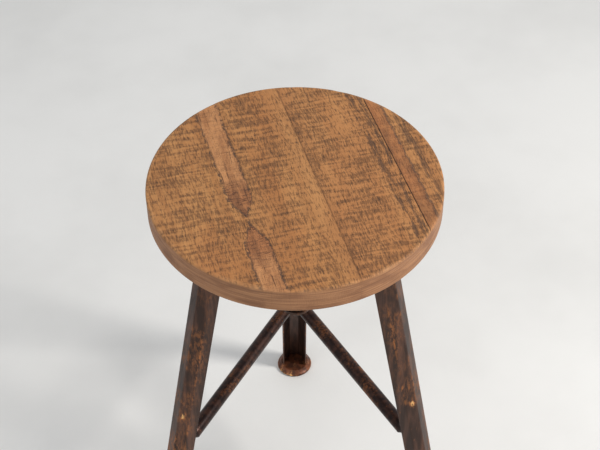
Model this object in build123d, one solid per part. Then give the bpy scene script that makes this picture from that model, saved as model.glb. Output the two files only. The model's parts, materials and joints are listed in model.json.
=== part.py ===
from build123d import *
import math
import os

# Adjustable swivel stool: a round wooden seat on a screw spindle, in a three-legged steel frame.
# Millimetres, +Z up, floor at z = 0. Every piece is built about the spindle axis, with the rear
# leg towards +Y, and moved at the end so that the origin is the centre of the stool's bounding
# box on the floor.

# ---------------------------------------------------------------- driving dimensions
SEAT_HEIGHT = 564.0
SEAT_RADIUS = 165.0
SEAT_THICKNESS = 31.0
SEAT_ROUNDOVER = 2.5

BOARD_WIDTH = 93.0
BOARD_JOINT_OFFSET = 24.0
BOARD_COUNT = 4
BOARD_NORMAL_DEG = 15.0
GLUE_LINE = 0.1

LEG_RADIUS_AT_FLOOR = 208.5
LEG_SPREAD_DEG = 119.0
LEG_SLOPE = 0.194
LEG_TOP = 492.0
LEG_WIDTH = 34.0
LEG_DEPTH = 24.0
LEG_BEVEL = 10.0
LEG_SHEET = 2.0

FOOT_RADIUS = 25.0
FOOT_CENTRE_RADIUS = 204.0
FOOT_HEIGHT = 9.0
FOOT_NECK_RADIUS = 20.5
FOOT_RIM_ROLL = 2.3

STRUT_HEIGHT = 195.0
STRUT_RADIUS = 9.0
STRUT_WALL = 1.5
STRUT_NODE_RADIUS = 160.0
STRUT_TAB_THICKNESS = 3.0
STRUT_TAB_HEIGHT = 24.0
STRUT_TAB_START = -2.5
STRUT_TAB_END = 10.5
STRUT_TAB_CORNER = 6.0
STRUT_NECK_START = 16.5

SPINDLE_RADIUS = 13.0
SPINDLE_PITCH = 6.0
LOWEST_TURNS = 4
HIGHEST_TURNS = 12

RUNNING_GAP = 0.05
LOOSE_GAP = 0.1
FACE_GAP = 0.3

# ---------------------------------------------------------------- worked out from these
SEAT_BOTTOM = SEAT_HEIGHT - SEAT_THICKNESS
PLATE_THICKNESS = 7.0
PLATE_RADIUS = 75.0
PLATE_BOTTOM = SEAT_BOTTOM - PLATE_THICKNESS
BOSS_RADIUS = 23.0
BOSS_HEIGHT = 12.0
BOSS_BOTTOM = PLATE_BOTTOM - BOSS_HEIGHT

LIFT_DOWN = LOWEST_TURNS * SPINDLE_PITCH
LIFT_UP = HIGHEST_TURNS * SPINDLE_PITCH

BUSH_TOP = BOSS_BOTTOM - LIFT_DOWN - FACE_GAP
BUSH_FLANGE_THICKNESS = 4.0
BUSH_FLANGE_RADIUS = 29.0
BUSH_BODY_RADIUS = 19.0
BUSH_LENGTH = 53.5
BUSH_BOTTOM = BUSH_TOP - BUSH_LENGTH

HUB_TOP = BUSH_TOP - BUSH_FLANGE_THICKNESS
HUB_RADIUS = 31.0
HUB_HEIGHT = 39.0
HUB_BOTTOM = HUB_TOP - HUB_HEIGHT

WASHER_TOP = BUSH_BOTTOM - LIFT_UP - FACE_GAP
WASHER_THICKNESS = 4.0
WASHER_RADIUS = 18.0
SPIGOT_RADIUS = 9.0
SPIGOT_LENGTH = 16.0
SPIGOT_TOP = WASHER_TOP + FACE_GAP
SPIGOT_BOTTOM = SPIGOT_TOP - SPIGOT_LENGTH
SPLIT_PIN_RADIUS = 1.6
SPLIT_PIN_HEIGHT = WASHER_TOP - WASHER_THICKNESS - FACE_GAP - SPLIT_PIN_RADIUS

CROSS_PIN_RADIUS = 3.0
CROSS_PIN_HEIGHT = (BOSS_BOTTOM + PLATE_BOTTOM) / 2 - 1.0

# Spider: the lug at the end of each arm fills the leg's channel and takes two rivets.
LUG_HEIGHT = 23.0
LUG_BOTTOM = HUB_TOP - LUG_HEIGHT
LUG_SIDE_GAP = 0.2
LUG_HALF_WIDTH = LEG_WIDTH / 2 - LEG_SHEET - LUG_SIDE_GAP
LUG_START = 100.5
LUG_SHOULDER = 115.0
LUG_END = 121.5
ARM_THICKNESS = 14.0
LEG_RIVET_HEIGHTS = (HUB_TOP - 15.0, HUB_TOP - 5.0)
LEG_RIVET_INSET = 5.0
LEG_RIVET_RADIUS = 2.8
LEG_RIVET_HEAD = (5.5, 3.2)

STRUT_RIVET_SHIFT = 5.0
STRUT_RIVET_RADIUS = 2.8
STRUT_RIVET_HEAD = (5.5, 3.2)
WOOD_SCREW_CIRCLE = 60.0
WOOD_SCREW_COUNT = 6
WOOD_SCREW_DEPTH = 20.0
WOOD_SCREW_RADIUS = 2.5
BUSH_SCREW_CIRCLE = 24.0
BUSH_SCREW_COUNT = 3
BUSH_SCREW_START_DEG = 30.0
BUSH_SCREW_RADIUS = 2.5
BUSH_SCREW_HEAD_RADIUS = 4.6
BUSH_SCREW_DEPTH = 14.0

LEG_ANGLES = {"rear": 0.0, "left": LEG_SPREAD_DEG, "right": -LEG_SPREAD_DEG}
STRUT_ANGLES = {"left": LEG_SPREAD_DEG / 2, "right": -LEG_SPREAD_DEG / 2}
STRUT_SIDES = {"rear": (-1, 1), "left": (1,), "right": (-1,)}
TAB_TURN_DEG = 90.0 - LEG_SPREAD_DEG / 2
TAB_OFFSET = LEG_WIDTH / 2 - LEG_SHEET - STRUT_TAB_THICKNESS / 2

FOOT_EXTENT_REAR = FOOT_CENTRE_RADIUS + FOOT_RADIUS
AXIS_Y = (SEAT_RADIUS - FOOT_EXTENT_REAR) / 2


# ---------------------------------------------------------------- helpers
def save(node, *shapes):
    """Move the finished shapes into the part's frame and write them as one node."""
    placed = [Pos(0, AXIS_Y, 0) * shape for shape in shapes]
    solids = [solid for shape in placed for solid in shape.solids()]
    body = solids[0] if len(solids) == 1 else Compound(children=solids)
    export_step(body, os.path.join("parts", node + ".step"))


def upright(radius, bottom, top, x=0.0, y=0.0):
    """A vertical cylinder between two heights."""
    return Pos(x, y, (bottom + top) / 2) * Cylinder(radius, top - bottom)


def crosswise(radius, length, y, z, x=0.0):
    """A cylinder along X, centred on the point given."""
    return Pos(x, y, z) * Rot(0, 90, 0) * Cylinder(radius, length)


def turned(points):
    """The solid swept by a closed outline of (radius, height) points about the Z axis."""
    outline = make_face(Polyline(*points, close=True))
    return revolve(Plane.XZ * outline, Axis.Z, 360)


def on_circle(count, radius, start_deg=0.0):
    """Plan positions spaced evenly on a circle about the spindle axis."""
    for k in range(count):
        angle = math.radians(start_deg + 360.0 * k / count)
        yield radius * math.cos(angle), radius * math.sin(angle)


def leg_radius(z):
    """Distance from the spindle axis to the leg's centre line at a height."""
    return LEG_RADIUS_AT_FLOOR - LEG_SLOPE * z


# ---------------------------------------------------------------- seat
def wood_screw_places():
    """The six screw positions, half a step off the boards' normal."""
    half_step = 180.0 / WOOD_SCREW_COUNT
    return on_circle(WOOD_SCREW_COUNT, WOOD_SCREW_CIRCLE, BOARD_NORMAL_DEG + half_step)


def seat_boards():
    """The round seat, cut into edge-glued boards with pilot holes for the wood screws."""
    disc = upright(SEAT_RADIUS, SEAT_BOTTOM, SEAT_HEIGHT)
    disc = fillet(disc.edges(), SEAT_ROUNDOVER)
    pilot_top = SEAT_BOTTOM + WOOD_SCREW_DEPTH + 1.0
    for x, y in wood_screw_places():
        disc -= upright(WOOD_SCREW_RADIUS + RUNNING_GAP, SEAT_BOTTOM - 1.0, pilot_top, x, y)
    boards = []
    outside = 2 * SEAT_RADIUS
    for k in range(BOARD_COUNT):
        joint = BOARD_JOINT_OFFSET + (k - 2) * BOARD_WIDTH
        left = -outside if k == 0 else joint + GLUE_LINE / 2
        right = outside if k == BOARD_COUNT - 1 else joint + BOARD_WIDTH - GLUE_LINE / 2
        slab = Pos((left + right) / 2, 0, SEAT_HEIGHT) * Box(right - left, 4 * SEAT_RADIUS, 200.0)
        boards.append(disc & (Rot(0, 0, BOARD_NORMAL_DEG) * slab))
    return boards


def seat_plate():
    """Cast plate under the seat with a boss that grips the top of the spindle."""
    outline = [
        (SPINDLE_RADIUS + RUNNING_GAP, BOSS_BOTTOM),
        (BOSS_RADIUS - 1.0, BOSS_BOTTOM),
        (BOSS_RADIUS, BOSS_BOTTOM + 1.0),
        (BOSS_RADIUS, PLATE_BOTTOM - 4.0),
        (BOSS_RADIUS + 4.0, PLATE_BOTTOM),
        (PLATE_RADIUS - 1.5, PLATE_BOTTOM),
        (PLATE_RADIUS, PLATE_BOTTOM + 1.5),
        (PLATE_RADIUS, SEAT_BOTTOM),
        (SPINDLE_RADIUS + RUNNING_GAP, SEAT_BOTTOM),
    ]
    plate = turned(outline)
    hole = WOOD_SCREW_RADIUS + LOOSE_GAP
    for x, y in wood_screw_places():
        plate -= upright(hole, PLATE_BOTTOM - 1.0, SEAT_BOTTOM + 1.0, x, y)
    return plate - crosswise(CROSS_PIN_RADIUS + RUNNING_GAP, 4 * BOSS_RADIUS, 0, CROSS_PIN_HEIGHT)


def wood_screw(x, y):
    """Slotted round-head wood screw, driven upwards through the plate."""
    head_radius = 4.8
    head_height = 3.2
    tip = SEAT_BOTTOM + WOOD_SCREW_DEPTH
    outline = [
        (0, PLATE_BOTTOM - head_height),
        (head_radius * 0.6, PLATE_BOTTOM - head_height),
        (head_radius * 0.9, PLATE_BOTTOM - head_height * 0.6),
        (head_radius, PLATE_BOTTOM),
        (WOOD_SCREW_RADIUS, PLATE_BOTTOM),
        (WOOD_SCREW_RADIUS, tip - 6.0),
        (0, tip),
    ]
    slot = Pos(0, 0, PLATE_BOTTOM - head_height) * Box(3 * head_radius, 1.2, 2.4)
    return Pos(x, y, 0) * (turned(outline) - slot)


def spindle():
    """Screw spindle: thread body, top end in the seat plate's boss, spigot at the bottom."""
    top = SEAT_BOTTOM - 0.5
    outline = [
        (0, SPIGOT_BOTTOM),
        (SPIGOT_RADIUS - 1.5, SPIGOT_BOTTOM),
        (SPIGOT_RADIUS, SPIGOT_BOTTOM + 1.5),
        (SPIGOT_RADIUS, SPIGOT_TOP),
        (SPINDLE_RADIUS - 1.5, SPIGOT_TOP),
        (SPINDLE_RADIUS, SPIGOT_TOP + 1.5),
        (SPINDLE_RADIUS, top - 1.0),
        (SPINDLE_RADIUS - 1.0, top),
        (0, top),
    ]
    shaft = turned(outline)
    shaft -= crosswise(CROSS_PIN_RADIUS + RUNNING_GAP, 4 * SPINDLE_RADIUS, 0, CROSS_PIN_HEIGHT)
    return shaft - crosswise(SPLIT_PIN_RADIUS + RUNNING_GAP, 4 * SPIGOT_RADIUS, 0, SPLIT_PIN_HEIGHT)


def spindle_pin():
    """Plain dowel through the boss and the spindle, ends just below the boss's surface."""
    return crosswise(CROSS_PIN_RADIUS, 2 * BOSS_RADIUS - 1.0, 0, CROSS_PIN_HEIGHT)


def split_pin():
    """Split pin through the spigot, with its eye on one side."""
    reach = SPIGOT_RADIUS + 5.0
    eye_radius = 3.2
    shank = crosswise(SPLIT_PIN_RADIUS, 2 * reach, 0, SPLIT_PIN_HEIGHT)
    eye = Pos(reach + eye_radius, 0, SPLIT_PIN_HEIGHT) * Torus(eye_radius, SPLIT_PIN_RADIUS * 0.7)
    return shank + eye


def stop_washer():
    """Loose washer over the spigot, which meets the bush and ends the seat's rise."""
    bottom = WASHER_TOP - WASHER_THICKNESS
    ring = upright(WASHER_RADIUS, bottom, WASHER_TOP)
    ring = chamfer(ring.edges(), 0.5)
    return ring - upright(SPIGOT_RADIUS + LOOSE_GAP, bottom - 1.0, WASHER_TOP + 1.0)


# ---------------------------------------------------------------- frame
def channel_section(z):
    """Cross-section of a leg at one height: half an octagon, open towards the spindle."""
    half = LEG_WIDTH / 2
    back = LEG_DEPTH / 2
    ease = LEG_SHEET * (math.sqrt(2) - 1)
    inner_half = half - LEG_SHEET
    outer_side = [(half, -back), (half, back - LEG_BEVEL), (half - LEG_BEVEL, back)]
    inner_side = [
        (inner_half, -back),
        (inner_half, back - LEG_BEVEL - ease),
        (half - LEG_BEVEL - ease, back - LEG_SHEET),
    ]
    loop = outer_side + [(-x, y) for x, y in reversed(outer_side)]
    loop += [(-x, y) for x, y in inner_side] + list(reversed(inner_side))
    face = make_face(Polyline(*loop, close=True))
    return Pos(0, leg_radius(z), z) * face


def leg_rivet_hole(z):
    """The hole across a leg and its lug for the rivet at one height."""
    y = leg_radius(z) - LEG_RIVET_INSET
    return crosswise(LEG_RIVET_RADIUS + RUNNING_GAP, 2 * LEG_WIDTH, y, z)


def leg(side):
    """Pressed sheet channel from the foot to just under the seat, drilled for its rivets."""
    shell = loft([channel_section(FOOT_HEIGHT), channel_section(LEG_TOP)], ruled=True)
    for z in LEG_RIVET_HEIGHTS:
        shell -= leg_rivet_hole(z)
    for sign in STRUT_SIDES[side]:
        centre = sign * LEG_WIDTH / 2
        hole = STRUT_RIVET_RADIUS + RUNNING_GAP
        rivet_y = STRUT_NODE_RADIUS + STRUT_RIVET_SHIFT
        shell -= crosswise(hole, 3 * LEG_SHEET, rivet_y, STRUT_HEIGHT, centre)
    return shell


def foot():
    """Pressed round pad, rolled at the rim, with a neck that the leg stands on."""
    roll = FOOT_RIM_ROLL
    slant = math.radians(60)
    rim_low = (FOOT_RADIUS - roll, 0)
    rim_out = (FOOT_RADIUS, roll)
    rim_high = (FOOT_RADIUS - roll * (1 - math.cos(slant)), roll * (1 + math.sin(slant)))
    neck = (FOOT_NECK_RADIUS, FOOT_HEIGHT)
    outline = (
        Polyline((0, FOOT_HEIGHT), (0, 0), rim_low)
        + ThreePointArc(rim_low, rim_out, rim_high)
        + Polyline(rim_high, neck, (0, FOOT_HEIGHT))
    )
    return Pos(0, FOOT_CENTRE_RADIUS, 0) * revolve(Plane.XZ * make_face(outline), Axis.Z, 360)


def rivet(shank_radius, grip, head_radius, head_height):
    """Round-headed rivet along X, its grip centred on the origin."""
    seat = grip / 2
    steps = 5
    flat_top = 80.0
    dome = []
    for k in range(steps + 1):
        angle = math.radians(flat_top * k / steps)
        dome.append((head_radius * math.cos(angle), seat + head_height * math.sin(angle)))
    crown = [(0, seat + head_height * math.sin(math.radians(flat_top)))]
    upper = [(shank_radius, seat)] + dome + crown
    lower = [(radius, -height) for radius, height in reversed(upper)]
    return Rot(0, 90, 0) * turned(upper + lower)


def leg_rivets():
    """Two rivets through each leg's flanks and the spider's lug."""
    one = rivet(LEG_RIVET_RADIUS, LEG_WIDTH, *LEG_RIVET_HEAD)
    for angle in LEG_ANGLES.values():
        for z in LEG_RIVET_HEIGHTS:
            yield Rot(0, 0, angle) * Pos(0, leg_radius(z) - LEG_RIVET_INSET, z) * one


def strut_rivets():
    """One rivet through each flattened strut end and the leg flank that it lies in."""
    grip = STRUT_TAB_THICKNESS + LEG_SHEET
    one = rivet(STRUT_RIVET_RADIUS, grip, *STRUT_RIVET_HEAD)
    middle = (LEG_WIDTH - grip) / 2
    y = STRUT_NODE_RADIUS + STRUT_RIVET_SHIFT
    for side, angle in LEG_ANGLES.items():
        for sign in STRUT_SIDES[side]:
            yield Rot(0, 0, angle) * Pos(sign * middle, y, STRUT_HEIGHT) * one


def strut_node():
    """Where the centre line of a strut along X meets the leg's centre plane, at +X."""
    corner = math.radians(LEG_SPREAD_DEG / 2)
    return STRUT_NODE_RADIUS * math.sin(corner), STRUT_NODE_RADIUS * math.cos(corner)


def strut_end():
    """Flattened +X end of a strut: the round tube enters the leg's open side and closes to a
    tab that lies against the inside of the near flank."""
    node_x, node_y = strut_node()
    turn = math.radians(TAB_TURN_DEG)
    tab_x = node_x - TAB_OFFSET * math.sin(turn)
    tab_y = node_y + TAB_OFFSET * math.cos(turn)
    along = Pos(tab_x, tab_y, STRUT_HEIGHT) * Rot(0, 0, TAB_TURN_DEG)

    overlap = 1.0
    length = STRUT_TAB_END - STRUT_TAB_START + overlap
    tab = Box(length, STRUT_TAB_THICKNESS, STRUT_TAB_HEIGHT)
    far_edges = tab.edges().filter_by(Axis.Y).sort_by(Axis.X)[-2:]
    tab = along * Pos(STRUT_TAB_END - length / 2, 0, 0) * fillet(far_edges, STRUT_TAB_CORNER)

    tube_end = Pos(node_x - STRUT_NECK_START, node_y, STRUT_HEIGHT)
    round_face = tube_end * (Plane.YZ * Circle(STRUT_RADIUS))
    squeezed = Plane.YZ * Ellipse(STRUT_TAB_THICKNESS / 2, STRUT_TAB_HEIGHT / 2)
    flat_face = along * Pos(STRUT_TAB_START, 0, 0) * squeezed
    neck = loft([round_face.face(), flat_face.face()], ruled=True)

    hole = Rot(90, 0, 0) * Cylinder(STRUT_RIVET_RADIUS + RUNNING_GAP, 4 * STRUT_TAB_THICKNESS)
    return neck + tab - along * Pos(STRUT_RIVET_SHIFT, 0, 0) * hole


def strut():
    """Tube between two legs, flattened and riveted at both ends."""
    node_x, node_y = strut_node()
    length = 2 * (node_x - STRUT_NECK_START)
    bore = STRUT_RADIUS - STRUT_WALL
    rod = crosswise(STRUT_RADIUS, length, node_y, STRUT_HEIGHT)
    hollow = crosswise(bore, length - 2.0, node_y, STRUT_HEIGHT)
    end = strut_end()
    return rod + end + end.mirror(Plane.YZ) - hollow


def bush_screw_places():
    """The three screw positions round the bush's flange, clear of the spider's arms."""
    return on_circle(BUSH_SCREW_COUNT, BUSH_SCREW_CIRCLE, BUSH_SCREW_START_DEG)


def spider():
    """Cast hub with three arms; each arm ends in a lug inside a leg's channel."""
    hub = upright(HUB_RADIUS, HUB_BOTTOM, HUB_TOP)
    root = HUB_RADIUS - 8.0
    tip = LUG_START + 2.0
    side_view = [
        (root, HUB_BOTTOM + 2.0),
        (root, HUB_TOP),
        (tip, HUB_TOP),
        (tip, LUG_BOTTOM + 3.0),
        (HUB_RADIUS + 14.0, HUB_BOTTOM + 12.0),
        (HUB_RADIUS, HUB_BOTTOM + 2.0),
    ]
    web_face = Plane.YZ * make_face(Polyline(*side_view, close=True))
    web = extrude(web_face, ARM_THICKNESS / 2, both=True)
    shoulder = LUG_HALF_WIDTH - (LUG_END - LUG_SHOULDER)
    plan = [
        (LUG_HALF_WIDTH, LUG_START),
        (LUG_HALF_WIDTH, LUG_SHOULDER),
        (shoulder, LUG_END),
    ]
    plan += [(-x, y) for x, y in reversed(plan)]
    lug_face = Pos(0, 0, LUG_BOTTOM) * make_face(Polyline(*plan, close=True))
    lug = extrude(lug_face, HUB_TOP - LUG_BOTTOM, dir=(0, 0, 1))
    arm = web + lug
    for z in LEG_RIVET_HEIGHTS:
        arm -= leg_rivet_hole(z)
    casting = hub
    for angle in LEG_ANGLES.values():
        casting += Rot(0, 0, angle) * arm
    casting -= upright(BUSH_BODY_RADIUS + RUNNING_GAP, HUB_BOTTOM - 1.0, HUB_TOP + 1.0)
    screw_hole = BUSH_SCREW_RADIUS + RUNNING_GAP
    hole_bottom = HUB_TOP - BUSH_SCREW_DEPTH - 2.0
    for x, y in bush_screw_places():
        casting -= upright(screw_hole, hole_bottom, HUB_TOP + 1.0, x, y)
    return casting


def thread_bush():
    """Flanged nut in the hub that the spindle screws through."""
    bore = SPINDLE_RADIUS + RUNNING_GAP
    outline = [
        (bore, BUSH_BOTTOM),
        (BUSH_BODY_RADIUS - 1.0, BUSH_BOTTOM),
        (BUSH_BODY_RADIUS, BUSH_BOTTOM + 1.0),
        (BUSH_BODY_RADIUS, HUB_TOP),
        (BUSH_FLANGE_RADIUS, HUB_TOP),
        (BUSH_FLANGE_RADIUS, BUSH_TOP - 1.0),
        (BUSH_FLANGE_RADIUS - 1.0, BUSH_TOP),
        (bore, BUSH_TOP),
    ]
    bush = turned(outline)
    for x, y in bush_screw_places():
        bush -= Pos(x, y, 0) * bush_screw_body(LOOSE_GAP)
    return bush


def bush_screw_body(gap):
    """Countersunk screw shape, grown by a gap when it is used to cut its own seat."""
    cone_height = 2.4
    cone_top = BUSH_TOP - 0.4
    head = BUSH_SCREW_HEAD_RADIUS + gap
    shank = BUSH_SCREW_RADIUS + gap / 2
    top = BUSH_TOP + (1.0 if gap else -0.2)
    bottom = HUB_TOP - BUSH_SCREW_DEPTH
    outline = [
        (0, top),
        (head, top),
        (head, cone_top),
        (shank, cone_top - cone_height),
        (shank, bottom),
        (0, bottom),
    ]
    return turned(outline)


def bush_screws():
    """Three slotted countersunk screws that hold the bush in the hub."""
    slot = Pos(0, 0, BUSH_TOP) * Box(3 * BUSH_SCREW_HEAD_RADIUS, 1.2, 2.2)
    one = bush_screw_body(0.0) - slot
    for x, y in bush_screw_places():
        yield Pos(x, y, 0) * one


# ---------------------------------------------------------------- write every node
os.makedirs("parts", exist_ok=True)

for number, board in enumerate(seat_boards(), start=1):
    save(f"seat_board_{number}", board)
save("seat_plate", seat_plate())
save("seat_screws", *[wood_screw(x, y) for x, y in wood_screw_places()])
save("spindle", spindle())
save("spindle_pin", spindle_pin())
save("split_pin", split_pin())
save("stop_washer", stop_washer())

for side, angle in LEG_ANGLES.items():
    save(f"leg_{side}", Rot(0, 0, angle) * leg(side))
    save(f"foot_{side}", Rot(0, 0, angle) * foot())
for side, angle in STRUT_ANGLES.items():
    save(f"strut_{side}", Rot(0, 0, angle) * strut())
save("leg_rivets", *leg_rivets())
save("strut_rivets", *strut_rivets())
save("spider", spider())
save("thread_bush", thread_bush())
save("bush_screws", *bush_screws())
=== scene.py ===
import json
import math

import bmesh
import bpy
import numpy as np
from mathutils import Matrix, Vector


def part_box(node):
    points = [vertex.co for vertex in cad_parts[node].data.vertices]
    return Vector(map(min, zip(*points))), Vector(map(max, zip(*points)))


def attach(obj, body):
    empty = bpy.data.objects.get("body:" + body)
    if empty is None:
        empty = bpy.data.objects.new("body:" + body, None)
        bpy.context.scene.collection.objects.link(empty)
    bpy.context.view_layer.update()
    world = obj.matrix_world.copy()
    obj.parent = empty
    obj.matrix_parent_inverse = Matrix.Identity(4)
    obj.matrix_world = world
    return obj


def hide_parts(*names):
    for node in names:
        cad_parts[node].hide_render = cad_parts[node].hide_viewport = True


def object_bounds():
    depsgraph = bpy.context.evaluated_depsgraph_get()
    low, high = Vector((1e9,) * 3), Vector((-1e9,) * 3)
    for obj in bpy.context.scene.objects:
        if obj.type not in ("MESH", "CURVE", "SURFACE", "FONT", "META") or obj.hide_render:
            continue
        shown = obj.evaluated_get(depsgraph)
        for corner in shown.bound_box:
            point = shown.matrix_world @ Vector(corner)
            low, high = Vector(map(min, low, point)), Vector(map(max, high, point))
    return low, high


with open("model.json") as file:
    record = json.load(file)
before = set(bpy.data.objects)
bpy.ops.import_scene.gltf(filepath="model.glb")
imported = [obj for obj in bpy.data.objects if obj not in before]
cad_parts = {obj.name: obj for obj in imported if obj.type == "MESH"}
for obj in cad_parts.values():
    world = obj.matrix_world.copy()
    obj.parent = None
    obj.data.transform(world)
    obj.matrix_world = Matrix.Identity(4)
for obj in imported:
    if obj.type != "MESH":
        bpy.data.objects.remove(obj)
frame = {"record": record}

CAD_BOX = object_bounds()
MM = 0.001

# ---------------------------------------- sizes, from the frame
JOINTS = {joint["name"]: joint for joint in frame["record"]["behaviour"]["joints"]}
AXIS_X, AXIS_Y, _ = JOINTS["seat_turn"]["pos_m"]
THREAD_PITCH = frame["record"]["behaviour"]["couplings"][0]["ratio"] * 2 * math.pi

BOARDS = [f"seat_board_{k}" for k in (1, 2, 3, 4)]
SEAT_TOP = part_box(BOARDS[1])[1].z
SEAT_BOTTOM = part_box(BOARDS[1])[0].z
PLATE_LOW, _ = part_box("seat_plate")
SEAT_RADIUS = AXIS_Y - CAD_BOX[0][1]
BOARD_TURN = math.radians(15.0)
BOARD_JOINTS = [-0.069, 0.024, 0.117]

LEG_LOW, LEG_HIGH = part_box("leg_rear")
FOOT_LOW, FOOT_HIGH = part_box("foot_rear")
STRUT_LOW, STRUT_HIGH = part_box("strut_left")
SPINDLE_LOW, SPINDLE_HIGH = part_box("spindle")

SHEET = 2.0 * MM
LEG_WIDTH = LEG_HIGH.x - LEG_LOW.x
LEG_DEPTH = 24.0 * MM
LEG_BEVEL = 10.0 * MM
LEG_BACK_LOW = LEG_HIGH.y - AXIS_Y
LEG_SLOPE = (LEG_HIGH.y - LEG_LOW.y - LEG_DEPTH) / (LEG_HIGH.z - LEG_LOW.z)
FOOT_RADIUS = (FOOT_HIGH.x - FOOT_LOW.x) / 2
FOOT_CENTRE = FOOT_HIGH.y - FOOT_RADIUS - AXIS_Y
FOOT_HEIGHT = FOOT_HIGH.z


def turn_of(node):
    """A node's turn about the spindle axis, from the middle of its box, with 0 at the rear."""
    low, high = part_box(node)
    middle = (low + high) / 2
    return math.atan2(AXIS_X - middle.x, middle.y - AXIS_Y)


LEG_TURNS = {side: turn_of(f"foot_{side}") for side in ("rear", "left", "right")}
LEG_SPREAD = abs(LEG_TURNS["left"])
STRUT_TURNS = {"left": LEG_SPREAD / 2, "right": -LEG_SPREAD / 2}


# ---------------------------------------- mesh helpers
def axis_matrix(turn):
    """Places a mesh built about the spindle axis, after a turn about it."""
    return Matrix.Translation((AXIS_X, AXIS_Y, 0)) @ Matrix.Rotation(turn, 4, "Z")


def make_object(name, verts, faces, wear, turn=0.0, angle=35.0):
    """A mesh object from lists, moved to the spindle axis, smooth except at sharp edges."""
    mesh = bpy.data.meshes.new(name)
    mesh.from_pydata([tuple(v) for v in verts], [], faces)
    set_wear(mesh, wear)
    tidy_mesh(mesh)
    mesh.transform(axis_matrix(turn))
    piece = bpy.data.objects.new(name, mesh)
    bpy.context.scene.collection.objects.link(piece)
    smooth_by_angle(mesh, angle)
    return piece


def set_wear(mesh, wear):
    """Gives each point its share of wear, from 0 to 1, for the materials to read; on the legs' creases this
    share also paints a highlight line.
    """
    layer = mesh.attributes.new("wear", "FLOAT", "POINT")
    layer.data.foreach_set("value", np.asarray(wear, np.float32))


def tidy_mesh(mesh):
    """Merge doubled points, drop flat leftovers and point every face outwards."""
    bm = bmesh.new()
    bm.from_mesh(mesh)
    bmesh.ops.remove_doubles(bm, verts=bm.verts, dist=1e-6)
    bmesh.ops.dissolve_degenerate(bm, dist=1e-7, edges=bm.edges)
    bmesh.ops.recalc_face_normals(bm, faces=bm.faces)
    bm.to_mesh(mesh)
    bm.free()


def smooth_by_angle(mesh, angle):
    """Smooth shading, with edges sharper than the angle left sharp."""
    bm = bmesh.new()
    bm.from_mesh(mesh)
    limit = math.radians(angle)
    for face in bm.faces:
        face.smooth = True
    for edge in bm.edges:
        edge.smooth = len(edge.link_faces) == 2 and edge.calc_face_angle(0.0) < limit
    bm.to_mesh(mesh)
    bm.free()


def turns(count):
    """Even angles round a full turn."""
    return [2 * math.pi * k / count for k in range(count)]


def ring_faces(rings, count, closed=True):
    """Quads between consecutive rings of the same number of points."""
    faces = []
    last = count if closed else count - 1
    for r in range(rings - 1):
        for i in range(last):
            j = (i + 1) % count
            faces.append((r * count + i, r * count + j, (r + 1) * count + j, (r + 1) * count + i))
    return faces


def ring_cap(row, count):
    """The face that closes one ring."""
    return tuple(range(row * count, (row + 1) * count))


def lathe(profile, segments, centre=(0.0, 0.0)):
    """Points and faces of a closed (radius, height) profile turned about the vertical."""
    verts = []
    for angle in turns(segments):
        c, s = math.cos(angle), math.sin(angle)
        verts += [(centre[0] + r * c, centre[1] + r * s, z) for r, z in profile]
    n = len(profile)
    faces = []
    for k in range(segments):
        m = (k + 1) % segments
        for i in range(n):
            j = (i + 1) % n
            faces.append((k * n + i, m * n + i, m * n + j, k * n + j))
    return verts, faces


def join_lists(*parts):
    """Several (verts, faces) pairs as one."""
    verts, faces = [], []
    for part_verts, part_faces in parts:
        base = len(verts)
        verts += list(part_verts)
        faces += [tuple(i + base for i in face) for face in part_faces]
    return verts, faces


def smooth(t):
    """From 0 to 1 as t goes from 0 to 1, slow at both ends."""
    return t * t * (3 - 2 * t)


def value_noise(points, scale, seed):
    """Smooth noise from -1 to 1 at each point, the same on every run."""
    p = np.asarray(points, float) * np.asarray(scale, float) + seed * 17.31
    cell = np.floor(p).astype(np.int64)
    f = smooth(p - cell)
    total = np.zeros(len(p))
    for dx in (0, 1):
        for dy in (0, 1):
            for dz in (0, 1):
                # a fixed scramble of the corner's whole numbers
                h = (cell[:, 0] + dx) * 374761393 + (cell[:, 1] + dy) * 668265263
                h = h + (cell[:, 2] + dz) * 2147483647 + seed * 144665
                h = (h ^ (h >> 13)) * 1274126177
                h = (h ^ (h >> 16)) & 0xFFFF
                corner = h / 32767.5 - 1.0
                wx = f[:, 0] if dx else 1 - f[:, 0]
                wy = f[:, 1] if dy else 1 - f[:, 1]
                wz = f[:, 2] if dz else 1 - f[:, 2]
                total += corner * wx * wy * wz
    return total


def settle(piece, body, slot, material, *nodes):
    """Give the piece its material and body, and hide the CAD nodes that it stands for; the slot is not
    used.
    """
    piece.data.materials.clear()
    piece.data.materials.append(material)
    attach(piece, body)
    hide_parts(*nodes)
    return piece


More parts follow.
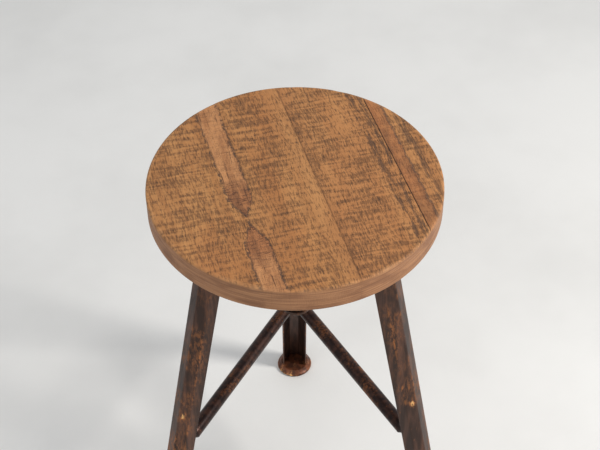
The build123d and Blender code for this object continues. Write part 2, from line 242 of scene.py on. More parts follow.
# ---------------------------------------- material helpers
class Nodes:
    """A short way to write a material's nodes."""

    def __init__(self, name):
        self.material = bpy.data.materials.new(name)
        self.material.use_nodes = True
        self.tree = self.material.node_tree
        self.tree.nodes.clear()
        self.out = self.tree.nodes.new("ShaderNodeOutputMaterial")
        self.shader = self.tree.nodes.new("ShaderNodeBsdfPrincipled")
        self.tree.links.new(self.shader.outputs["BSDF"], self.out.inputs["Surface"])

    def put(self, socket, value):
        """Links a node's output to the socket, or sets a constant on it."""
        if hasattr(value, "is_output"):
            self.tree.links.new(value, socket)
        else:
            socket.default_value = value

    def place(self, shift, turn=0.0):
        """Object coordinates, moved by the shift and then turned about Z."""
        coords = self.tree.nodes.new("ShaderNodeTexCoord").outputs["Object"]
        moved = self.tree.nodes.new("ShaderNodeVectorMath")
        moved.operation = "ADD"
        self.put(moved.inputs[0], coords)
        moved.inputs[1].default_value = shift
        turned = self.tree.nodes.new("ShaderNodeMapping")
        turned.inputs["Rotation"].default_value = (0, 0, turn)
        self.put(turned.inputs["Vector"], moved.outputs["Vector"])
        return turned.outputs["Vector"]

    def scaled(self, vector, scale):
        node = self.tree.nodes.new("ShaderNodeVectorMath")
        node.operation = "MULTIPLY"
        self.put(node.inputs[0], vector)
        node.inputs[1].default_value = scale
        return node.outputs["Vector"]

    def noise(self, vector, detail, rough=0.5):
        node = self.tree.nodes.new("ShaderNodeTexNoise")
        self.put(node.inputs["Vector"], vector)
        node.inputs["Scale"].default_value = 1.0
        node.inputs["Detail"].default_value = detail
        node.inputs["Roughness"].default_value = rough
        return node.outputs["Fac"]

    def math(self, kind, a, b=0.0, c=0.0):
        node = self.tree.nodes.new("ShaderNodeMath")
        node.operation = kind
        self.put(node.inputs[0], a)
        self.put(node.inputs[1], b)
        self.put(node.inputs[2], c)
        return node.outputs[0]

    def times(self, a, b):
        return self.math("MULTIPLY", a, b)

    def times_add(self, a, b, c):
        return self.math("MULTIPLY_ADD", a, b, c)

    def inverse(self, a):
        return self.math("SUBTRACT", 1.0, a)

    def off_centre(self, noise, amount, value):
        """The value, pushed to either side by up to half the amount."""
        return self.times_add(self.math("SUBTRACT", noise, 0.5), amount, value)

    def step(self, value, low, high):
        """0 at low, 1 at high, smooth between; low may be the larger of the two."""
        node = self.tree.nodes.new("ShaderNodeMapRange")
        node.interpolation_type = "SMOOTHSTEP"
        self.put(node.inputs["Value"], value)
        node.inputs["From Min"].default_value = low
        node.inputs["From Max"].default_value = high
        return node.outputs["Result"]

    def band(self, value, low, high, soft):
        """1 between low and high, 0 outside, with soft ends."""
        above = self.step(value, low - soft, low + soft)
        below = self.step(value, high - soft, high + soft)
        return self.math("SUBTRACT", above, below)

    def mix(self, share, a, b):
        node = self.tree.nodes.new("ShaderNodeMix")
        node.data_type = "RGBA"
        self.put(node.inputs["Factor"], share)
        self.put(node.inputs["A"], a)
        self.put(node.inputs["B"], b)
        return node.outputs["Result"]

    def parts(self, vector):
        node = self.tree.nodes.new("ShaderNodeSeparateXYZ")
        self.put(node.inputs[0], vector)
        return node.outputs

    def joined(self, x, y, z):
        node = self.tree.nodes.new("ShaderNodeCombineXYZ")
        self.put(node.inputs[0], x)
        self.put(node.inputs[1], y)
        self.put(node.inputs[2], z)
        return node.outputs[0]

    def attribute(self, name):
        node = self.tree.nodes.new("ShaderNodeAttribute")
        node.attribute_name = name
        return node.outputs["Fac"]

    def bump(self, height, distance, strength):
        node = self.tree.nodes.new("ShaderNodeBump")
        node.inputs["Distance"].default_value = distance
        node.inputs["Strength"].default_value = strength
        self.put(node.inputs["Height"], height)
        self.put(self.shader.inputs["Normal"], node.outputs["Normal"])

    def surface(self, color, roughness, specular, metallic=0.0):
        self.put(self.shader.inputs["Base Color"], color)
        self.put(self.shader.inputs["Roughness"], roughness)
        self.put(self.shader.inputs["Metallic"], metallic)
        self.shader.inputs["Specular IOR Level"].default_value = specular
        return self.material


def srgb(r, g, b):
    """A linear colour from 0-255 sRGB values."""
    def linear(c):
        c = c / 255
        return c / 12.92 if c <= 0.04045 else ((c + 0.055) / 1.055) ** 2.4
    return (linear(r), linear(g), linear(b), 1.0)


# ---------------------------------------- seat wood
# the worn streak: one band along the grain that closes to a point and opens again
STREAK_MIDDLE = -0.065
STREAK_HALF = 0.013
STREAK_PINCH = -0.045
STREAK_OPENING = 0.040

# distances from the right-hand joint, positive towards the rim
STRIP_EDGE = (0.0145, 0.0160)
STRIP_LINE = (0.0142, 0.0166)
SHAKES_LEFT = ((-0.0185, -0.0125), (-0.0085, -0.0030))
SHAKES_RIGHT = (0.024, 0.034)

CALM_WIDTH = 0.034
GLUE_SHADE = 0.0070
RIM_FADE = (SEAT_TOP - 0.0030, SEAT_TOP - 0.0008)


def saw_rows(n, board, u, v, calm):
    """Saw marks: rows across the grain, about 5 mm apart, broken into patches."""
    across = n.times_add(u, 0.05, v)
    row_wander = n.noise(n.scaled(board, (26, 30, 20)), detail=2.0)
    across = n.times_add(row_wander, 0.007, across)
    row_point = n.joined(n.times(u, 20.0), n.times(across, 190.0), 0.0)
    rows = n.noise(row_point, detail=3.0, rough=0.55)
    patches = n.noise(n.scaled(board, (22, 17, 20)), detail=3.0, rough=0.55)
    rows = n.step(n.off_centre(patches, 0.55, rows), 0.34, 0.72)
    return n.times(rows, n.times_add(calm, -0.60, 1.0))


def sawn_boards(n, board, grain_point, u, v):
    """The plain sawn surface: its colour, and its marks as (value, relief) pairs."""
    fine = n.noise(n.scaled(grain_point, (700, 16, 300)), detail=4.0, rough=0.65)
    broad = n.noise(n.scaled(grain_point, (85, 3.2, 60)), detail=3.0, rough=0.55)
    comb = n.noise(n.scaled(grain_point, (560, 120, 200)), detail=3.0, rough=0.6)
    tone = n.noise(n.scaled(grain_point, (16, 6, 10)), detail=3.0)

    # smoother in a strip left of the glue line, and darker just right of it
    glue = BOARD_JOINTS[1]
    calm = n.times(n.step(u, glue - CALM_WIDTH, glue - 0.004), n.step(u, glue, glue - 0.0006))
    right_board = n.step(u, glue - 0.0002, glue + 0.0002)
    beside_glue = n.band(u, glue, glue + GLUE_SHADE, 0.0010)
    rows = saw_rows(n, board, u, v, calm)
    strokes = n.step(n.times_add(rows, 0.16, comb), 0.50, 0.70)
    deep = n.step(n.times_add(rows, 0.12, comb), 0.68, 0.78)

    color = n.mix(n.step(broad, 0.35, 0.65), srgb(194, 138, 84), srgb(174, 119, 70))
    color = n.mix(n.times(n.step(tone, 0.40, 0.68), 0.6), color, srgb(172, 110, 62))
    color = n.mix(n.times(beside_glue, 0.28), color, srgb(128, 84, 50))
    color = n.mix(n.times(right_board, 0.30), color, srgb(192, 132, 82))
    color = n.mix(n.times(calm, 0.22), color, srgb(200, 146, 94))
    color = n.mix(n.times(n.step(fine, 0.45, 0.72), 0.45), color, srgb(138, 92, 58))
    color = n.mix(n.times(rows, 0.32), color, srgb(110, 74, 46))
    color = n.mix(n.times(strokes, 0.58), color, srgb(92, 62, 40))
    color = n.mix(n.times(deep, 0.60), color, srgb(62, 44, 34))

    from_glue = n.math("ABSOLUTE", n.math("SUBTRACT", u, glue))
    glue_line = n.inverse(n.step(from_glue, 0.0003, 0.0014))
    color = n.mix(n.times(glue_line, 0.50), color, srgb(104, 70, 44))
    return color, fine, [(strokes, -0.55), (rows, -0.30), (deep, -0.40)]


def worn_streak(n, board, grain_point, u, v, jag, streak_tone, color):
    """The worn streak on the left: smooth wood with jagged dark edges, reddish at its pinch."""
    past_pinch = n.math("ABSOLUTE", n.math("SUBTRACT", v, STREAK_PINCH))
    half_width = n.times(n.step(past_pinch, 0.0, STREAK_OPENING), STREAK_HALF)
    off_middle = n.math("SUBTRACT", n.off_centre(jag, 0.012, u), STREAK_MIDDLE)
    from_left = n.math("ADD", half_width, off_middle)
    from_right = n.math("SUBTRACT", half_width, off_middle)
    inside = n.times(n.step(from_left, -0.0005, 0.0008), n.step(from_right, -0.0005, 0.0008))
    near = n.math("MINIMUM", n.math("ABSOLUTE", from_left), n.math("ABSOLUTE", from_right))
    both = n.times(n.step(from_left, -0.003, 0.0), n.step(from_right, -0.003, 0.0))
    edge = n.times(n.inverse(n.step(near, 0.0004, 0.0022)), both)
    edge = n.times(edge, n.step(jag, 0.38, 0.54))

    smooth_wood = n.mix(n.step(streak_tone, 0.40, 0.62), srgb(200, 142, 94), srgb(176, 120, 78))
    red_wood = n.mix(n.step(streak_tone, 0.38, 0.60), srgb(168, 108, 68), srgb(118, 74, 50))
    red_place = n.inverse(n.step(past_pinch, STREAK_OPENING, 2 * STREAK_OPENING))
    color = n.mix(n.times(inside, 0.75), color, n.mix(red_place, smooth_wood, red_wood))

    hatch = n.noise(n.scaled(board, (90, 520, 60)), detail=3.0, rough=0.65)
    hatch = n.times(n.step(hatch, 0.54, 0.64), inside)
    hatch = n.times(hatch, n.times_add(red_place, 0.55, 0.25))
    color = n.mix(hatch, color, srgb(84, 50, 34))
    crack = n.noise(n.scaled(grain_point, (330, 22, 100)), detail=4.0, rough=0.6)
    crack = n.times(n.step(crack, 0.60, 0.66), inside)
    color = n.mix(n.times(crack, 0.7), color, srgb(62, 38, 28))
    color = n.mix(n.times(edge, 0.80), color, srgb(76, 58, 48))
    return color, [(hatch, -0.50), (edge, -0.80)]


def right_hand_wear(n, grain_point, u, jag, streak_tone, color):
    """The dark joint on the right, the reddish strip beside it and the shakes round it."""
    right = n.math("SUBTRACT", u, BOARD_JOINTS[2])
    torn = n.off_centre(jag, 0.010, right)
    strip = n.times(n.step(right, 0.0, 0.0008), n.inverse(n.step(torn, *STRIP_EDGE)))
    strip_wood = n.mix(n.step(streak_tone, 0.4, 0.62), srgb(170, 108, 66), srgb(132, 84, 54))
    color = n.mix(n.times(strip, 0.66), color, strip_wood)
    strip_line = n.times(n.band(torn, *STRIP_LINE, 0.0008), n.step(jag, 0.34, 0.46))
    color = n.mix(n.times(strip_line, 0.7), color, srgb(88, 68, 56))
    seam = n.inverse(n.step(n.math("ABSOLUTE", right), 0.0003, 0.0009))
    color = n.mix(n.times(seam, 0.9), color, srgb(48, 30, 22))

    shakes = n.noise(n.scaled(grain_point, (270, 34, 100)), detail=5.0, rough=0.65)
    outer_place, inner_place = (n.band(torn, *limits, 0.0015) for limits in SHAKES_LEFT)
    places = n.math("ADD", outer_place, inner_place)
    places = n.math("ADD", places, n.times(n.band(right, *SHAKES_RIGHT, 0.003), 0.8))
    shakes = n.times(n.step(shakes, 0.45, 0.53), places)
    color = n.mix(n.times(shakes, 0.75), color, srgb(84, 62, 48))
    return color, [(shakes, -0.60)]


def turned_rim(n, board, top, color):
    """The rim: turned smooth, with fine lines round it, and pale where it is knocked."""
    ring_lines = n.noise(n.scaled(board, (16, 16, 900)), detail=3.0, rough=0.6)
    side_tone = n.noise(n.scaled(board, (30, 30, 90)), detail=3.0)
    side = n.mix(n.step(ring_lines, 0.36, 0.68), srgb(166, 118, 80), srgb(130, 88, 58))
    side = n.mix(n.times(n.step(side_tone, 0.46, 0.66), 0.6), side, srgb(118, 76, 48))
    color = n.mix(top, side, color)
    color = n.mix(n.times(n.attribute("wear"), 0.65), color, srgb(212, 160, 112))
    return color, [(ring_lines, 0.12)]


def seat_wood():
    """Oiled, sawn softwood: grain along the boards, saw marks across it, dark worn streaks."""
    n = Nodes("seat_wood")
    board = n.place((-AXIS_X, -AXIS_Y, 0), -BOARD_TURN)
    u, v, z = n.parts(board)[0:3]
    wander = n.noise(n.scaled(board, (7, 5, 9)), detail=2.0)
    grain_point = n.joined(n.times_add(wander, 0.016, u), v, z)
    jag = n.noise(n.scaled(board, (190, 110, 60)), detail=5.0, rough=0.68)
    streak_tone = n.noise(n.scaled(grain_point, (110, 18, 60)), detail=4.0)
    top = n.step(z, *RIM_FADE)

    color, fine, sawn = sawn_boards(n, board, grain_point, u, v)
    color, worn = worn_streak(n, board, grain_point, u, v, jag, streak_tone, color)
    color, shaken = right_hand_wear(n, grain_point, u, jag, streak_tone, color)
    color, turned = turned_rim(n, board, top, color)

    height = n.times(fine, 0.30)
    for mark, relief in sawn + worn + shaken + turned:
        height = n.times_add(mark, relief, height)
    n.bump(n.times(height, n.times_add(top, 0.75, 0.25)), 0.0008, 0.8)
    return n.surface(color, n.times_add(fine, 0.18, 0.48), specular=0.35)


# ---------------------------------------- steel and floor
def patina(name, dark, brown, rust, metallic=0.6, rough=0.34, rust_share=0.5, seed=0.0):
    """Old steel: dark patina, brown patches, rust in spots and on the worn edges; on the legs' creases that
    rust colour is also a painted highlight line.
    """
    n = Nodes(name)
    point = n.place((seed, seed, seed))
    large = n.noise(n.scaled(point, (120, 120, 6)), detail=3.0, rough=0.5)
    small = n.noise(n.scaled(point, (330, 330, 110)), detail=5.0, rough=0.65)
    grit = n.noise(n.scaled(point, (900, 900, 700)), detail=3.0, rough=0.6)
    runs = n.noise(n.scaled(point, (300, 300, 9)), detail=3.0, rough=0.55)
    worn = n.attribute("wear")
    color = n.mix(n.step(large, 0.40, 0.64), dark, brown)
    color = n.mix(n.times(n.step(runs, 0.48, 0.66), 0.5), color, dark)
    color = n.mix(n.times(n.step(runs, 0.36, 0.28), 0.35), color, brown)
    spots = n.times(n.step(small, 0.64, 0.72), rust_share)
    # rust colour on worn points; on the legs' creases it is also a painted highlight line
    edge = n.times(worn, n.step(small, 0.42, 0.60))
    marks = n.math("MAXIMUM", spots, edge)
    color = n.mix(marks, color, rust)
    # pale bright colour where the wear share is near full, as at the bright spots on the front legs' bevels
    bright = n.times(n.step(worn, 0.80, 1.0), n.step(small, 0.40, 0.60))
    color = n.mix(bright, color, srgb(226, 176, 112))
    color = n.mix(n.times(n.step(grit, 0.55, 0.7), 0.25), color, srgb(24, 17, 14))
    roughness = n.times_add(runs, 0.22, rough - 0.11)
    roughness = n.times_add(small, 0.12, roughness)
    roughness = n.times_add(marks, 0.26, roughness)
    height = n.times_add(small, 0.5, n.times(grit, 0.2))
    height = n.times_add(runs, 0.5, height)
    height = n.times_add(marks, 0.35, height)
    n.bump(height, 0.00035, 0.7)
    shine = n.times_add(marks, -0.8 * metallic, metallic)
    return n.surface(color, roughness, specular=0.32, metallic=shine)


def floor_paint():
    """Pale, slightly uneven floor."""
    n = Nodes("floor_paint")
    point = n.place((0, 0, 0))
    cloud = n.noise(n.scaled(point, (2.2, 2.2, 2.2)), detail=4.0, rough=0.6)
    grit = n.noise(n.scaled(point, (90, 90, 90)), detail=4.0, rough=0.6)
    color = n.mix(n.step(cloud, 0.35, 0.7), srgb(236, 235, 232), srgb(226, 225, 222))
    n.bump(grit, 0.0006, 0.4)
    return n.surface(color, n.times_add(grit, 0.1, 0.7), specular=0.3)


# ---------------------------------------- seat
ROUNDOVER = 2.5 * MM
GLUE_GAP = 0.05 * MM
JOINT_MARGIN = 0.0022
SLICE_ANGLE = math.radians(0.4)
NEAR_JOINT = [0.0, 0.0004, 0.0009, 0.0016]
GROOVE_DEPTHS = (0.10 * MM, 0.16 * MM, 0.45 * MM)
GROOVE_REACH = 0.0011
TOP_STEPS = 200
BOTTOM_STEPS = 24
SIDE_STEPS = 12
RIM_STEPS = 6

# what a point of a slice lies on
ON_TOP, ON_ROUNDOVER, ELSEWHERE = 1.0, 0.5, 0.0


def slice_places(start, end):
    """Where the board is cut into slices: even angles round the disc, closer at the joints."""
    count = int(math.pi / SLICE_ANGLE)
    angles = [-math.pi / 2 + k * SLICE_ANGLE for k in range(count + 1)]
    places = [SEAT_RADIUS * math.sin(angle) for angle in angles]
    inner = [u for u in places if start + JOINT_MARGIN < u < end - JOINT_MARGIN]
    if start > -SEAT_RADIUS:
        head = [start + d for d in NEAR_JOINT]
    else:
        head = [u for u in places if u <= start + JOINT_MARGIN]
    if end < SEAT_RADIUS:
        tail = [end - d for d in reversed(NEAR_JOINT)]
    else:
        tail = [u for u in places if u >= end - JOINT_MARGIN]
    return head + inner + tail


def slice_loop(u):
    """One closed slice across the seat at a distance u along the boards' normal."""
    flat = SEAT_RADIUS - ROUNDOVER
    start = math.acos(min(max((abs(u) - flat) / ROUNDOVER, 0.0), 1.0))
    rim = []
    for k in range(RIM_STEPS + 1):
        angle = start * (1 - k / RIM_STEPS)
        rim.append((flat + ROUNDOVER * math.cos(angle), ROUNDOVER * (math.sin(angle) - 1)))
    inner_radius, inner_drop = rim[0]
    half = math.sqrt(max(inner_radius ** 2 - u * u, 0.0))
    points = []
    for k in range(TOP_STEPS + 1):
        t = 2 * k / TOP_STEPS - 1
        v = half * (0.6 * t + 0.4 * math.sin(math.pi * t / 2))
        points.append((v, SEAT_TOP + inner_drop, ON_TOP))
    low = SEAT_BOTTOM + ROUNDOVER
    high = SEAT_TOP - ROUNDOVER
    side = [(r, SEAT_TOP + h, ON_ROUNDOVER) for r, h in rim[1:]]
    for k in range(1, SIDE_STEPS):
        side.append((SEAT_RADIUS, high + (low - high) * k / SIDE_STEPS, ELSEWHERE))
    side += [(r, SEAT_BOTTOM - h, ELSEWHERE) for r, h in reversed(rim)]
    edge = [(math.sqrt(max(r * r - u * u, 0.0)), z, kind) for r, z, kind in side]
    points += edge
    bottom = edge[-1][0]
    for k in range(1, BOTTOM_STEPS):
        v = bottom * (1 - 2 * k / BOTTOM_STEPS)
        points.append((v, SEAT_BOTTOM - inner_drop, ELSEWHERE))
    points += [(-v, z, kind) for v, z, kind in reversed(edge)]
    return [(u, v, z, kind) for v, z, kind in points]


def streak_hollow(u, v, jag):
    """1 inside the worn streak, 0 outside it: the same shape as in the wood material."""
    past_pinch = np.clip(np.abs(v - STREAK_PINCH) / STREAK_OPENING, 0, 1)
    half_width = STREAK_HALF * smooth(past_pinch)
    return np.clip((half_width - np.abs(u + jag - STREAK_MIDDLE)) / 0.0015, 0, 1)


def worn_top(u, v, z):
    """How far the top has worn down: saw marks, wavy grain, the streak and open joints."""
    local = np.column_stack([u, v, z])
    bands = value_noise(np.column_stack([u * 16, (v + 0.05 * u) * 125, z * 0]), (1, 1, 1), 3)
    grain = value_noise(local, (300, 40, 1), 5)
    wave = value_noise(local, (30, 12, 1), 7)
    drop = 0.10 * MM * (bands + 1) + 0.08 * MM * (grain + 1) + 0.10 * MM * (wave + 1)
    jag = 0.002 * value_noise(local, (190, 110, 1), 9)
    depth = 0.45 + 0.15 * value_noise(local, (260, 150, 1), 11)
    drop += streak_hollow(u, v, jag) * MM * depth
    for joint, groove in zip(BOARD_JOINTS, GROOVE_DEPTHS):
        drop += np.clip(1 - np.abs(u - joint) / GROOVE_REACH, 0, 1) * groove
    return drop


def knocked_rim(u, v, z, radius):
    """How far the rim is pushed in, how hard it is knocked, and how near its top edge it is."""
    turn = np.arctan2(v, u)
    around = np.column_stack([np.cos(turn) * 2, np.sin(turn) * 2, z * 260])
    inward = 0.06 * MM * (value_noise(around, (1, 1, 1), 13) + 1)
    level = np.column_stack([np.cos(turn), np.sin(turn), z * 0])
    knock = np.clip(value_noise(level, (13, 13, 1), 15) - 0.35, 0, 1)
    edge_band = np.clip(1 - np.abs(z - (SEAT_TOP - 0.0012)) / 0.0024, 0, 1)
    edge_band = edge_band * (radius > SEAT_RADIUS - 0.004)
    return inward + 0.9 * MM * knock * edge_band, knock, edge_band


def build_board(board, start, end, material):
    """One board of the seat, worn and sawn on top, with a groove at each joint."""
    loops = [slice_loop(u) for u in slice_places(start, end)]
    count = len(loops[0])
    data = np.array([point for loop in loops for point in loop])
    u, v, z, kind = data[:, 0], data[:, 1], data[:, 2], data[:, 3]
    local = np.column_stack([u, v, z])
    radius = np.hypot(u, v)

    drop = worn_top(u, v, z)
    fade = np.clip((SEAT_RADIUS - radius) / (3 * ROUNDOVER), 0.25, 1)
    on_roundover = np.where(kind == ON_ROUNDOVER, drop * 0.25, 0)
    z = z - np.where(kind == ON_TOP, drop * fade, on_roundover)

    inward, knock, edge_band = knocked_rim(u, v, z, radius)
    squeeze = np.where(radius > SEAT_RADIUS - 2 * ROUNDOVER, 1 - inward / SEAT_RADIUS, 1.0)
    at_joint = (np.abs(u - start) < 1e-6) | (np.abs(u - end) < 1e-6)
    u = np.where(at_joint, u, u * squeeze)
    v = v * squeeze
    patchy = 0.25 + 1.4 * knock + 0.35 * value_noise(local, (60, 60, 1), 17)
    wear = np.clip(edge_band * patchy, 0, 1)

    c, s = math.cos(BOARD_TURN), math.sin(BOARD_TURN)
    verts = np.column_stack([u * c - v * s, u * s + v * c, z])
    faces = ring_faces(len(loops), count)
    # close the faces that are glued to the next board
    for row in (0, len(loops) - 1):
        if abs(data[row * count, 0]) < SEAT_RADIUS - 1e-6:
            faces.append(ring_cap(row, count))
    piece = make_object(f"{board}_wood", verts, faces, wear, angle=50)
    return settle(piece, "seat", "seat_wood", material, board)


def build_seat():
    """The boards side by side, with a thin glue gap at each joint."""
    wood = seat_wood()
    starts = [-SEAT_RADIUS] + [joint + GLUE_GAP for joint in BOARD_JOINTS]
    ends = [joint - GLUE_GAP for joint in BOARD_JOINTS] + [SEAT_RADIUS]
    for board, start, end in zip(BOARDS, starts, ends):
        build_board(board, start, end, wood)


# ---------------------------------------- legs
# the small bright pale spots painted on the front legs' bevels, carried by the wear attribute
BRIGHT_SPOT_HEIGHTS = {"left": 0.263, "right": 0.275}
BRIGHT_SPOT_ALONG_BEVEL = 0.35
BRIGHT_SPOT_HALF_WIDTH = 2.4 * MM
BRIGHT_SPOT_HALF_HEIGHT = 6.0 * MM
LEG_ROWS = 240
CREASE_STEPS = 4
LIP_ROUND = 0.4 * MM
LIP_INSET = 0.5 * MM
LIP_POINTS = 2
LIP_WEAR = 0.9


def leg_centre(z):
    """Distance from the spindle axis to a leg's centre line at a height."""
    return LEG_BACK_LOW - LEG_DEPTH / 2 - LEG_SLOPE * (z - LEG_LOW.z)


def rounded_path(corners, radius):
    """An open line through the corners, with the inner corners rounded; gives crease shares."""
    points = [(corners[0][0], corners[0][1], 0.0)]
    for before, corner, after in zip(corners, corners[1:], corners[2:]):
        a = Vector(before) - Vector(corner)
        b = Vector(after) - Vector(corner)
        reach = radius * math.tan((math.pi - a.angle(b)) / 2)
        first = Vector(corner) + a.normalized() * reach
        last = Vector(corner) + b.normalized() * reach
        for k in range(CREASE_STEPS + 1):
            t = k / CREASE_STEPS
            spot = first * (1 - t) ** 2 + Vector(corner) * 2 * t * (1 - t) + last * t * t
            points.append((spot.x, spot.y, math.sin(math.pi * (0.15 + 0.7 * t))))
    points.append((corners[-1][0], corners[-1][1], 0.0))
    return points


def channel_points():
    """The leg's section: outer line, lips and inner line, each with its share of wear, which on the creases
    also paints a highlight line.
    """
    half, back, bevel = LEG_WIDTH / 2, LEG_DEPTH / 2, LEG_BEVEL
    ease = SHEET * (math.sqrt(2) - 1)
    outer = [(half, -back + LIP_ROUND), (half, back - bevel), (half - bevel, back)]
    outer += [(-x, y) for x, y in reversed(outer)]
    inner_half = half - SHEET
    inner = [(inner_half, -back + LIP_ROUND), (inner_half, back - bevel - ease)]
    inner += [(half - bevel - ease, back - SHEET)]
    inner += [(-x, y) for x, y in reversed(inner)]
    outside = densify(rounded_path(outer, 3.2 * MM), 4)
    inside = densify(rounded_path(inner, 1.6 * MM), 4)
    inside = [(x, y, 0.0) for x, y, _ in reversed(inside)]
    lip_ends = half - LIP_INSET, half - SHEET + LIP_INSET
    lip_left = [(-x, -back, LIP_WEAR) for x in lip_ends]
    lip_right = [(x, -back, LIP_WEAR) for x in reversed(lip_ends)]
    return outside + lip_left + inside + lip_right


def densify(path, parts):
    """A path with its long runs cut into parts, so that dents can show there."""
    dense = []
    for (x0, y0, w0), (x1, y1, w1) in zip(path, path[1:]):
        pieces = parts if math.hypot(x1 - x0, y1 - y0) > 3 * MM else 1
        for k in range(pieces):
            t = k / pieces
            dense.append((x0 + (x1 - x0) * t, y0 + (y1 - y0) * t, w0 + (w1 - w0) * t))
    dense.append(path[-1])
    return dense


def bright_spot(side, verts, on_outside):
    """The bright pale spot on a front leg's bevel, as a share of wear from 0 to 1."""
    facing = -1 if side == "left" else 1
    spot_x = facing * (LEG_WIDTH / 2 - LEG_BEVEL * (1 - BRIGHT_SPOT_ALONG_BEVEL))
    across, up = verts[:, 0] - spot_x, verts[:, 2] - BRIGHT_SPOT_HEIGHTS[side]
    reach = np.hypot(across / BRIGHT_SPOT_HALF_WIDTH, up / BRIGHT_SPOT_HALF_HEIGHT)
    return np.clip(2.6 - 2 * reach, 0, 1) * on_outside


def build_leg(side, material):
    """Pressed channel leg with rounded creases, slightly dented, with rust and a painted highlight line
    along its ridges.
    """
    section = channel_points()
    count = len(section)
    rings = LEG_ROWS + 1
    heights = [LEG_LOW.z + (LEG_HIGH.z - LEG_LOW.z) * r / LEG_ROWS for r in range(rings)]
    verts = np.array([(x, leg_centre(z) + y, z) for z in heights for x, y, _ in section])
    crease = np.array([share for _, _, share in section] * rings)
    seed = {"rear": 21, "left": 23, "right": 25}[side]
    dent = value_noise(verts, (45, 45, 22), seed) + 0.5 * value_noise(verts, (120, 120, 60), seed + 1)
    verts[:, 0] *= 1 - 0.010 * (np.clip(dent, -1, 1) + 1) / 2
    along = value_noise(verts, (30, 30, 26), seed + 2)
    along = along + 0.6 * value_noise(verts, (90, 90, 110), seed + 3)
    # rust along the creases and lips, which on the creases also stands in for a painted highlight line
    wear = np.clip(crease * (0.25 + 0.80 * along), 0, 0.78)
    if side in BRIGHT_SPOT_HEIGHTS:
        on_outside = np.array([y > LEG_DEPTH / 2 - LEG_BEVEL - MM for _, y, _ in section] * rings)
        wear = np.maximum(wear, bright_spot(side, verts, on_outside))
    faces = ring_faces(rings, count)
    faces += cap_faces(0, count) + cap_faces(LEG_ROWS * count, count)
    piece = make_object(f"leg_{side}_channel", verts, faces, wear, LEG_TURNS[side])
    return settle(piece, "frame", "frame_steel", material, f"leg_{side}")


def cap_faces(base, count):
    """Closes a channel's loop end: pairs each outer point with the inner one across the sheet."""
    run = (count - 2 * LIP_POINTS) // 2
    first_in = run + LIP_POINTS
    faces = []
    for i in range(run - 1):
        across = first_in + run - 1 - i
        faces.append((base + i, base + i + 1, base + across - 1, base + across))
    left_lip = range(run - 1, first_in + 1)
    right_lip = [*range(count - LIP_POINTS - 1, count), 0]
    faces += [tuple(base + i for i in lip) for lip in (left_lip, right_lip)]
    return faces


# ---------------------------------------- feet
FOOT_ROLL = 2.3 * MM
FOOT_NECK = 19.6 * MM
ROLL_STEPS = 8
SKIRT_STEPS = 6
BEAD_RING = 8


def foot_profile():
    """A pad's half section: flat bottom, rolled rim, dished skirt and flat neck."""
    centre = FOOT_RADIUS - FOOT_ROLL
    profile = [(0.0, 0.0), (centre - 6 * MM, 0.0), (centre, 0.0)]
    for k in range(1, ROLL_STEPS + 1):
        angle = math.radians(-90 + 150 * k / ROLL_STEPS)
        profile.append((centre + FOOT_ROLL * math.cos(angle), FOOT_ROLL + FOOT_ROLL * math.sin(angle)))
    start_r, start_z = profile[-1]
    for k in range(1, SKIRT_STEPS + 1):
        t = k / SKIRT_STEPS
        radius = start_r + (FOOT_NECK - start_r) * t
        profile.append((radius, start_z + (FOOT_HEIGHT - start_z) * t ** 1.35))
    profile += [(FOOT_NECK * share, FOOT_HEIGHT) for share in (0.8, 0.4, 0.0)]
    return profile


def build_foot(side, material):
    """Pressed pad: thin rolled rim, shallow dished skirt, and a weld bead round the leg."""
    pad = lathe(foot_profile(), 96, (0.0, FOOT_CENTRE))
    verts, faces = join_lists(pad, weld_bead())
    verts = np.array(verts)
    seed = {"rear": 31, "left": 33, "right": 35}[side]
    turn = np.arctan2(verts[:, 1] - FOOT_CENTRE, verts[:, 0])
    reach = np.hypot(verts[:, 1] - FOOT_CENTRE, verts[:, 0])
    around = np.column_stack([np.cos(turn), np.sin(turn), verts[:, 2] * 90])
    lumps = value_noise(around, (3, 3, 1), seed)
    scale = 1 - 0.018 * (lumps + 1) / 2 * np.clip(reach / FOOT_RADIUS, 0, 1)
    verts[:, 0] *= scale
    verts[:, 1] = FOOT_CENTRE + (verts[:, 1] - FOOT_CENTRE) * scale
    rim = np.clip(1 - np.abs(reach - FOOT_RADIUS) / 0.0018, 0, 1)
    spots = value_noise(verts, (160, 160, 160), seed + 1)
    wear = np.clip(rim * (0.5 + 0.8 * spots) + np.clip(spots - 0.25, 0, 1) * 1.1, 0, 1)
    piece = make_object(f"foot_{side}_pad", verts, faces, wear, LEG_TURNS[side])
    return settle(piece, "frame", "frame_steel", material, f"foot_{side}")


def weld_bead():
    """A rippled bead that follows the leg's outer line where it meets the pad."""
    middle = leg_centre(LEG_LOW.z)
    section = channel_points()
    outer_line = section[:len(section) // 2]
    path = [(x, middle + y) for x, y, _ in densify(outer_line, 8)]
    verts = []
    for i, (x, y) in enumerate(path):
        bead = (1.15 + 0.2 * math.sin(i * 1.9) + 0.12 * math.sin(i * 3.1)) * MM
        towards = Vector((x, y - middle)).normalized()
        for angle in turns(BEAD_RING):
            shift = bead * math.cos(angle)
            up = FOOT_HEIGHT + bead * math.sin(angle) * 0.8
            verts.append((x + towards.x * shift, y + towards.y * shift, up))
    faces = ring_faces(len(path), BEAD_RING)
    faces += [ring_cap(0, BEAD_RING), ring_cap(len(path) - 1, BEAD_RING)]
    return verts, faces


